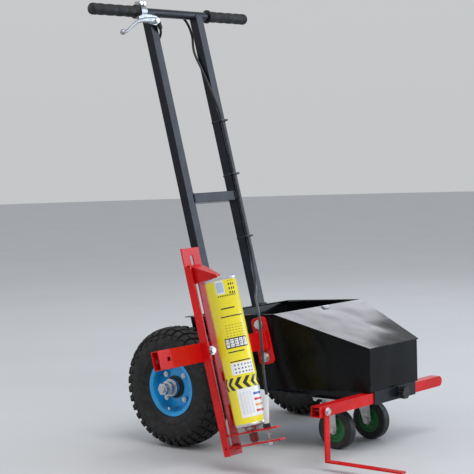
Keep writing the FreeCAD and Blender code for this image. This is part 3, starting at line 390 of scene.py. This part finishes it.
def refine(node, width, segments=2, sharp=38):
    """The CAD piece again with its hard edges rounded by width."""
    bm = bmesh.new()
    bm.from_mesh(frame["nodes"][node].data)
    bmesh.ops.remove_doubles(bm, verts=bm.verts, dist=1e-5)
    bmesh.ops.dissolve_limit(bm, angle_limit=math.radians(0.6), verts=bm.verts, edges=bm.edges)
    edges = [edge for edge in bm.edges
             if len(edge.link_faces) == 2 and edge.calc_face_angle(0) > math.radians(sharp)]
    bmesh.ops.bevel(bm, geom=edges, offset=width, segments=segments, profile=0.5, affect="EDGES",
                    clamp_overlap=True, harden_normals=False)
    piece = add_mesh(node + "_piece", bm, slot_of[node], body_of_node[node], (node,))
    even = piece.modifiers.new("even_shading", "WEIGHTED_NORMAL")
    even.keep_sharp = True
    even.weight = 100
    return piece


def rings(bm, outline, place, count=96, closed_outline=False):
    """Turn an outline of (radius, along) once round; place(radius, angle, along) gives the point."""
    grid = []
    for step in range(count):
        angle = 2 * math.pi * step / count
        grid.append([bm.verts.new(place(radius, angle, along)) for radius, along in outline])
    last = len(outline) if closed_outline else len(outline) - 1
    for step in range(count):
        here, there = grid[step], grid[(step + 1) % count]
        for i in range(last):
            j = (i + 1) % len(outline)
            bm.faces.new((here[i], here[j], there[j], there[i]))
    bmesh.ops.remove_doubles(bm, verts=bm.verts, dist=1e-6)
    return grid


def smooth_line(points, steps=4):
    """Points along a Catmull-Rom curve through the given ones."""
    spots = [Vector(point) for point in points]
    spots = [spots[0] * 2 - spots[1]] + spots + [spots[-1] * 2 - spots[-2]]
    line = []
    for a, b, c, d in zip(spots, spots[1:], spots[2:], spots[3:]):
        for step in range(steps):
            t = step / steps
            line.append(0.5 * ((2 * b) + (c - a) * t + (2 * a - 5 * b + 4 * c - d) * t ** 2
                               + (3 * b - a - 3 * c + d) * t ** 3))
    return line + [spots[-2]]


def tube(bm, line, size, sides=12, wobble=None):
    """Skin a line of points with rings; size(i) gives the ring's two half widths."""
    normal = Vector((0, 0, 1)) if abs((line[1] - line[0]).normalized().z) < 0.9 else Vector((1, 0, 0))
    previous = None
    first = None
    for i, point in enumerate(line):
        ahead = (line[min(i + 1, len(line) - 1)] - line[max(i - 1, 0)]).normalized()
        normal = (normal - ahead * normal.dot(ahead)).normalized()
        side = ahead.cross(normal)
        wide, tall = size(i)
        ring = []
        for k in range(sides):
            angle = 2 * math.pi * k / sides
            spot = point + side * math.cos(angle) * wide + normal * math.sin(angle) * tall
            ring.append(bm.verts.new(spot))
        if previous:
            for k in range(sides):
                bm.faces.new((previous[k], previous[(k + 1) % sides], ring[(k + 1) % sides], ring[k]))
        else:
            first = ring
        previous = ring
    bm.faces.new(first)
    bm.faces.new(previous)


# --- rear wheels -----------------------------------------------------------------------------

TYRE_SIDE = [(54, 22), (58, 24.6), (62.6, 27.2), (63.6, 30.4), (66.5, 31.8), (70, 34.6), (72.5, 35.4),
             (74.5, 37.6), (78, 38.7), (80, 38.4), (84, 39.9), (92, 40.9), (101, 40.3), (109, 37.8),
             (115.5, 33.8), (120, 28), (122.6, 20), (123.8, 10), (124, 0)]
TREAD_DEPTH = 5.6
PITCHES = 36


def tyre_profile():
    """Outer skin of the tyre from the crown's middle to the bead, as (radius, along) in mm."""
    return [(point.x, point.y) for point in smooth_line([(r, w, 0) for r, w in TYRE_SIDE], 3)]


def on_tread(run):
    """Point and outward normal of the carcass at a run in mm from the crown's middle line."""
    line = [(r, w) for r, w in reversed(tyre_profile())]
    sign = -1 if run < 0 else 1
    left = abs(run)
    for (r0, w0), (r1, w1) in zip(line, line[1:]):
        step = math.hypot(r1 - r0, w1 - w0)
        if left <= step:
            share = left / step
            normal = ((w1 - w0) / step, -(r1 - r0) / step)
            return (r0 + (r1 - r0) * share, sign * (w0 + (w1 - w0) * share)), (normal[0], sign * normal[1])
        left -= step
    raise ValueError("the run leaves the tyre")


def tread_block(bm, wheel, corners, height):
    """A raised block over four (angle, run) corners, bevelled along its top edge."""
    across, along = 3, 4
    inset = 0.12
    rows = []
    for i in range(-1, along + 2):
        row = []
        for k in range(-1, across + 2):
            skirt = i in (-1, along + 1) or k in (-1, across + 1)
            ti = min(max(i, 0), along) / along
            tk = min(max(k, 0), across) / across
            if not skirt:
                ti, tk = inset + ti * (1 - 2 * inset), inset + tk * (1 - 2 * inset)
            near = [corners[0][n] * (1 - tk) + corners[1][n] * tk for n in (0, 1)]
            far = [corners[3][n] * (1 - tk) + corners[2][n] * tk for n in (0, 1)]
            angle, run = (near[n] * (1 - ti) + far[n] * ti for n in (0, 1))
            (radius, width), normal = on_tread(run)
            lift = height - 1.1 if skirt else height
            row.append((angle, radius + normal[0] * lift, width + normal[1] * lift,
                        radius - normal[0] * 1.5, width - normal[1] * 1.5))
        rows.append(row)
    top = [[bm.verts.new(wheel(spot[1], spot[0], spot[2])) for spot in row] for row in rows]
    for row, following in zip(top, top[1:]):
        for k in range(len(row) - 1):
            bm.faces.new((row[k], row[k + 1], following[k + 1], following[k]))
    edge = [(0, k) for k in range(len(top[0]))] + [(i, len(top[0]) - 1) for i in range(1, len(top))]
    edge += [(len(top) - 1, k) for k in range(len(top[0]) - 2, -1, -1)]
    edge += [(i, 0) for i in range(len(top) - 2, 0, -1)]
    foot = [bm.verts.new(wheel(rows[i][k][3], rows[i][k][0], rows[i][k][4])) for i, k in edge]
    for n, (i, k) in enumerate(edge):
        m = (n + 1) % len(edge)
        bm.faces.new((top[i][k], top[edge[m][0]][edge[m][1]], foot[m], foot[n]))


def build_tyre(name, side):
    """Carcass with ribs at the bead, and rows of skewed tread blocks with shoulder lugs."""
    centre = middle("axle")
    track = abs(middle("rim_" + name).y) * side

    def wheel(radius, angle, along):
        return Vector((centre.x + radius * MM * math.cos(angle), track + along * MM * side,
                       centre.z + radius * MM * math.sin(angle)))

    outer = tyre_profile()
    skin = outer + [(r, -w) for r, w in reversed(outer[:-1])]
    inside = [(54, -15), (68, -26), (92, -33), (112, -27), (117, -10), (117, 10), (112, 27), (92, 33),
              (68, 26), (54, 15)]
    bm = bmesh.new()
    rings(bm, skin + inside, wheel, 120, True)
    add_mesh("tyre_carcass_" + name, bm, "tyre_black", "wheel_" + name, ("tyre_" + name,))
    bm = bmesh.new()
    pitch = 2 * math.pi / PITCHES
    for index in range(PITCHES):
        for way in (-1, 1):
            start = (index + (0.5 if way > 0 else 0)) * pitch
            rows = [(1.2, 10.5, 0.12, 0.70, 0.30, TREAD_DEPTH),
                    (13.0, 24.0, 0.42, 1.02, 0.26, TREAD_DEPTH),
                    (26.5, 38.0, 0.75, 1.38, 0.10, TREAD_DEPTH - 0.3)]
            if index % 2:
                rows.append((38.6, 47.5, 0.82, 1.26, 0.0, 2.6))
            else:
                rows.append((38.6, 43.5, 0.86, 1.28, 0.0, 3.6))
            for low, high, begin, end, skew, height in rows:
                corners = [(start + begin * pitch, way * low), (start + end * pitch, way * low),
                           (start + (end + skew) * pitch, way * high),
                           (start + (begin + skew) * pitch, way * high)]
                tread_block(bm, wheel, corners, height)
    add_mesh("tyre_tread_" + name, bm, "tyre_black", "wheel_" + name)


def build_seal(name, side):
    """Dark dust seal round the wheel bearing."""
    centre = middle("axle")
    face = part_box("rim_" + name)[0 if side < 0 else 1].y
    outline = smooth_line([(0.0195, 0.0), (0.0235, 0.0), (0.0245, 0.0022), (0.0235, 0.0045),
                           (0.0205, 0.0052), (0.0192, 0.0035)], 3)
    inward = -0.0165 * side

    def wheel(radius, angle, along):
        return Vector((centre.x + radius * math.cos(angle), face + inward + along * side,
                       centre.z + radius * math.sin(angle)))

    bm = bmesh.new()
    rings(bm, [(point.x, point.y) for point in outline], wheel, 64, True)
    add_mesh("bearing_seal_" + name, bm, "cable_black", "wheel_" + name)


# --- handlebar -------------------------------------------------------------------------------

def build_grip(name, side):
    """Rubber sleeve with finger swells, fine ribs, a flange and a domed end."""
    low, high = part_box("grip_" + name)
    centre = (low + high) / 2
    length = high.y - low.y
    start = low.y if side > 0 else high.y
    outer = 0.0130
    outline = [(0.0101, 0.0), (0.0150, 0.0), (0.0160, 0.0012), (0.0160, 0.0032), (0.0148, 0.0045),
               (0.0124, 0.0058)]
    swells, ribs = 4, 58
    begin, end = 0.008, length - 0.016
    for step in range(ribs * 2):
        share = step / (ribs * 2)
        swell = 0.0013 * abs(math.sin(math.pi * share * swells)) ** 0.8
        rib = 0.00022 if step % 2 else 0.0
        outline.append((outer - 0.0014 + swell + rib, begin + (end - begin) * share))
    outline += [(outer, length - 0.0155), (outer + 0.0001, length - 0.006), (outer - 0.0008, length - 0.0028),
                (outer - 0.0030, length - 0.0008), (0.0040, length), (0.0, length)]

    def bar(radius, angle, along):
        return Vector((centre.x + radius * math.cos(angle), start + along * side,
                       centre.z + radius * math.sin(angle)))

    bm = bmesh.new()
    rings(bm, outline, bar, 48)
    add_mesh("grip_rubber_" + name, bm, "grip_foam", "cart", ("grip_" + name,), 50)


def build_lever():
    """Cast lever: a boss at the pivot, a tapering curved blade and a ball at the tip."""
    pivot = Vector(joints["lever_squeeze"]["pos_m"])
    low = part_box("brake_lever")[0]
    tip = Vector((pivot.x, low.y + 0.0065, low.z + 0.0065))
    reach = tip - pivot
    shape = [(-0.06, 0.02, 0.0058, 0.0030), (0.05, -0.02, 0.0070, 0.0032), (0.20, -0.02, 0.0066, 0.0031),
             (0.38, 0.03, 0.0050, 0.0029), (0.54, 0.14, 0.0042, 0.0028), (0.68, 0.42, 0.0038, 0.0027),
             (0.82, 0.78, 0.0034, 0.0026), (0.92, 0.96, 0.0032, 0.0028), (0.99, 1.0, 0.0034, 0.0030)]
    points = [pivot + Vector((0, reach.y * along, reach.z * drop)) for along, drop, _, _ in shape]
    line = smooth_line(points, 5)
    sizes = smooth_line([(wide, tall, 0) for _, _, wide, tall in shape], 5)
    bm = bmesh.new()
    tube(bm, line, lambda i: (sizes[i].y, sizes[i].x), 14)
    ball = bmesh.ops.create_uvsphere(bm, u_segments=20, v_segments=14, radius=0.0063)
    bmesh.ops.translate(bm, verts=ball["verts"], vec=tip)
    boss = [(0.0031, -0.0030), (0.0068, -0.0030), (0.0074, -0.0022), (0.0074, 0.0022), (0.0068, 0.0030),
            (0.0031, 0.0030)]

    def pin(radius, angle, along):
        return Vector((pivot.x + along, pivot.y + radius * math.cos(angle),
                       pivot.z + radius * math.sin(angle)))

    rings(bm, boss, pin, 32, True)
    add_mesh("lever_cast", bm, "lever_silver", "lever", ("brake_lever",), 40)


# --- brake cable -----------------------------------------------------------------------------

CABLE_ROUTE = [
    (-165, -74.9, 930), (-162.5, -69.5, 916.5), (-166.5, -65, 901), (-179, -61, 889), (-198, -59, 885),
    (-216, -56, 893), (-228, -50, 911), (-230, -37, 931), (-223, -14, 947), (-213, 12, 955),
    (-209, 40, 955), (-209, 65, 945), (-208, 81, 924), (-202, 83, 900), (-193, 72.5, 879),
    (-180, 65, 857), (-160, 66.5, 823), (-138, 66.5, 782), (-124, 68, 750), (-117, 75, 720),
    (-107.8, 78, 684), (-91, 76, 615), (-72.8, 79, 542), (-55.6, 77, 473), (-40.3, 79, 412), (-26, 75, 358),
    (-3, 52, 326), (40, 2, 316), (98, -72, 313), (160, -143, 311), (216, -205, 298),
    (263, -258, 272), (303, -303, 236), (330, -333, 198), (341, -340, 161.2),
]


def route_line(points):
    """The smooth line of a NURBS spline whose control points are the route's."""
    curve = bpy.data.curves.new("cable_line", "CURVE")
    curve.dimensions = "3D"
    curve.resolution_u = 8
    spline = curve.splines.new("NURBS")
    spline.points.add(len(points) - 1)
    for point, (x, y, z) in zip(spline.points, points):
        point.co = (x * MM, y * MM, z * MM, 1)
    spline.order_u = 3
    spline.use_endpoint_u = True
    holder = bpy.data.objects.new("cable_line", curve)
    bpy.context.scene.collection.objects.link(holder)
    bpy.context.view_layer.update()
    mesh = bpy.data.meshes.new_from_object(holder.evaluated_get(bpy.context.evaluated_depsgraph_get()))
    line = [vertex.co.copy() for vertex in mesh.vertices]
    bpy.data.objects.remove(holder)
    bpy.data.curves.remove(curve)
    bpy.data.meshes.remove(mesh)
    return line


def build_cable():
    """Black sheathed cable, and its boot at the lever."""
    line = route_line(CABLE_ROUTE)
    radius = 0.0029
    bm = bmesh.new()
    tube(bm, line, lambda i: (radius, radius), 16)
    cable = add_mesh("cable_sheath", bm, "cable_black", None, ("brake_cable",), 60)
    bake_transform(cable)
    boot = line[:7]
    profile = [0.0052, 0.0058, 0.0050, 0.0056, 0.0048, 0.0052, 0.0040]
    bm = bmesh.new()
    tube(bm, smooth_line(boot, 2), lambda i: (profile[min(i // 2, 6)], profile[min(i // 2, 6)]), 18)
    add_mesh("cable_boot", bm, "cable_black", "cart", (), 50)


# --- aerosol can and trigger -----------------------------------------------------------------

def build_can():
    """Printed tinplate can with rolled seams, hanging valve down; printed walls carry the layout."""
    centre = middle("spray_can")
    reach = [(vertex.co - centre).dot(HOLDER_UP) for vertex in frame["nodes"]["spray_can"].data.vertices]
    low, high = min(reach), max(reach)
    wall_low, wall_high = low + 0.0115, high
    outer = 0.0327
    bm = bmesh.new()
    layer = bm.loops.layers.uv.new("layout")

    def can(radius, angle, along):
        side = HOLDER_FORWARD * math.cos(angle) + ACROSS * math.sin(angle)
        return centre + side * radius + HOLDER_UP * along

    def skin(outline, slot, count=96):
        grid = [[bm.verts.new(can(r, 2 * math.pi * step / count, a)) for r, a in outline]
                for step in range(count)]
        for step in range(count):
            here, there = grid[step], grid[(step + 1) % count]
            for i in range(len(outline) - 1):
                face = bm.faces.new((here[i], here[i + 1], there[i + 1], there[i]))
                face.material_index = slot
                for loop, (turn, index) in zip(face.loops, ((step, i), (step, i + 1),
                                                            (step + 1, i + 1), (step + 1, i))):
                    share = (outline[index][1] - wall_low) / (wall_high - wall_low)
                    loop[layer].uv = ((turn / count + 0.80) % 1.0001, share)

    skin([(0.0, low), (0.0120, low), (0.0132, low + 0.0008), (0.0138, low + 0.0035), (0.0146, low + 0.0052),
          (0.0180, low + 0.0062), (0.0240, low + 0.0078), (0.0290, low + 0.0092), (0.0312, low + 0.0085),
          (outer, low + 0.0095), (outer, low + 0.0130), (0.0319, low + 0.0145)], 1)
    skin([(0.0319, low + 0.0145), (0.0319, high - 0.0050)], 0)
    skin([(0.0319, high - 0.0050), (outer, high - 0.0036), (outer, high - 0.0006), (0.0321, high),
          (0.0312, high - 0.0006), (0.0302, high - 0.0040), (0.0250, high - 0.0065), (0.0170, high - 0.0082),
          (0.0080, high - 0.0089), (0.0, high - 0.0090)], 1)
    bmesh.ops.remove_doubles(bm, verts=bm.verts, dist=1e-6)
    piece = add_mesh("aerosol_can", bm, "can_yellow", "holder", ("spray_can",), 40)
    piece.data.materials.append(materials["zinc"])


def build_spring():
    """Return spring between the trigger and the nozzle plate."""
    vertices = [vertex.co for vertex in frame["nodes"]["trigger_spring"].data.vertices]
    centre = middle("trigger_spring")
    reach = [(spot - centre).dot(HOLDER_UP) for spot in vertices]
    low, high = min(reach) + 0.0006, max(reach) - 0.0006
    turns, steps = 6, 20
    line = []
    for step in range(turns * steps + 1):
        angle = 2 * math.pi * step / steps
        share = step / (turns * steps)
        share = share - 0.07 * math.sin(2 * math.pi * share)
        side = HOLDER_FORWARD * math.cos(angle) + ACROSS * math.sin(angle)
        line.append(centre + side * 0.0042 + HOLDER_UP * (low + (high - low) * share))
    bm = bmesh.new()
    tube(bm, line, lambda i: (0.0006, 0.0006), 8)
    spring = add_mesh("return_spring", bm, "zinc", "holder", ("trigger_spring",), 60)
    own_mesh(spring)


# --- welds -----------------------------------------------------------------------------------

def weld(name, points, slot, body, radius=0.0026, seed=1):
    """Ripple-marked weld bead along a line."""
    dice = random.Random(seed)
    length = sum((b - a).length for a, b in zip(points, points[1:]))
    count = max(6, int(length / 0.0011))
    line = []
    for step in range(count + 1):
        left = length * step / count
        for a, b in zip(points, points[1:]):
            run = (b - a).length
            if left <= run + 1e-9:
                line.append(a.lerp(b, left / run))
                break
            left -= run
    sizes = []
    for step in range(len(line)):
        ripple = 1 + 0.13 * math.sin(step * 2.1) + dice.uniform(-0.06, 0.06)
        taper = min(1.0, 0.45 + 0.25 * min(step, len(line) - 1 - step))
        sizes.append(radius * ripple * taper)
    bm = bmesh.new()
    tube(bm, line, lambda i: (sizes[i], sizes[i]), 8)
    add_mesh(name, bm, slot, body, (), 60)


def build_welds():
    """Beads where the mast, handlebar, bin and outrigger are joined."""
    half = 0.011
    up, ahead = HOLDER_UP, HOLDER_FORWARD
    bar = middle("crossbar")
    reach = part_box("crossbar")[1].y
    for side, name in ((-1, "right"), (1, "left")):
        for way, part in ((-1, "under"), (1, "over")):
            spot = bar + up * half * way
            spot.y = reach * side
            weld("crossbar_weld_%s_%s" % (part, name), [spot - ahead * half, spot + ahead * half],
                 "black_frame", "cart", 0.0026, 3 + side + way)
        front = bar + ahead * half
        front.y = reach * side
        weld("crossbar_weld_front_" + name, [front - up * half, front + up * half], "black_frame",
             "cart", 0.0024, 9 + side)
        post = middle("upright_" + name)
        handle = middle("handlebar")
        ring = []
        for step in range(9):
            angle = math.pi * (1.06 + 0.88 * step / 8)
            ring.append(Vector((handle.x + 0.0108 * math.cos(angle), post.y + (half + 0.0006) * -side,
                                handle.z + 0.0108 * math.sin(angle))))
        weld("handlebar_weld_" + name, ring, "black_frame", "cart", 0.0022, 15 + side)
        rim_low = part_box("bin_rim")[0]
        foot_z = rim_low.z + 0.0022
        foot_x = rim_low.x + 0.0006
        corners = [Vector((foot_x - 0.006, post.y - half - 0.001, foot_z)),
                   Vector((foot_x + 0.0012, post.y - half - 0.001, foot_z)),
                   Vector((foot_x + 0.0012, post.y + half + 0.001, foot_z)),
                   Vector((foot_x - 0.006, post.y + half + 0.001, foot_z))]
        weld("bin_weld_" + name, corners, "black_frame", "cart", 0.0030, 21 + side)
    plate_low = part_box("arm_plate")[0]
    arm = middle("arm_tube")
    face = plate_low.y - 0.0004
    wide, tall = 0.0098, 0.0193
    corners = [Vector((arm.x, face, arm.z)) + ahead * a * wide + up * b * tall
               for a, b in ((-1, -1), (1, -1), (1, 1), (-1, 1), (-1, -1))]
    weld("arm_weld", corners, "red_paint", "cart", 0.0024, 31)


# --- everything ------------------------------------------------------------------------------

add_camera()
add_sky()
add_area("key_light", (2.2, -1.0, 3.4), (0.1, 0, 0.4), (2.4, 2.0), 82)
add_area("fill_light", (-2.6, -1.6, 2.4), (0, 0, 0.4), (2.0, 1.6), 16)
add_area("lid_light", (-1.33, 2.67, 1.84), (0.30, 0, 0.26), (0.9, 0.7), 7, (0.90, 0.92, 1.0))
add_area("mast_light", (1.84, 2.44, 1.39), (-0.05, 0, 0.55), (1.6, 2.2), 38, (0.70, 0.84, 1.0))
materials = make_materials()
add_floor()

for side, name in ((-1, "right"), (1, "left")):
    build_tyre(name, side)
    build_seal(name, side)
    build_grip(name, side)
build_lever()
build_cable()
build_can()
build_spring()
build_welds()

ROUNDING = {
    "upright_right": 2.0, "upright_left": 2.0, "crossbar": 1.8, "guide_bar": 1.8, "arm_tube": 2.0,
    "guide_sleeve": 1.2, "base_rail_right": 1.6, "base_rail_left": 1.6, "rear_crossmember": 1.6,
    "bin_tray": 0.9, "bin_rim": 0.7, "bin_lid": 0.8, "holder_angle": 0.7, "arm_plate": 0.9,
    "hook_bracket": 0.7, "nozzle_plate": 0.6, "trigger_plate": 0.6, "pointer_arm": 0.8,
}
hand_made = {"tyre_right", "tyre_left", "grip_right", "grip_left", "brake_lever", "brake_cable",
             "spray_can", "trigger_spring"}
for node in sorted(frame["nodes"]):
    if node not in hand_made:
        refine(node, ROUNDING.get(node, 0.5) * MM)

stop = bpy.data.objects["cable_stop_piece"]
stop.data.materials.append(materials["knob_black"])
foot = min(vertex.co.dot(HOLDER_UP) for vertex in stop.data.vertices)
for face in stop.data.polygons:
    if face.center.dot(HOLDER_UP) < foot + 0.0082:
        face.material_index = 1

bpy.context.scene.view_settings.view_transform = "Standard"
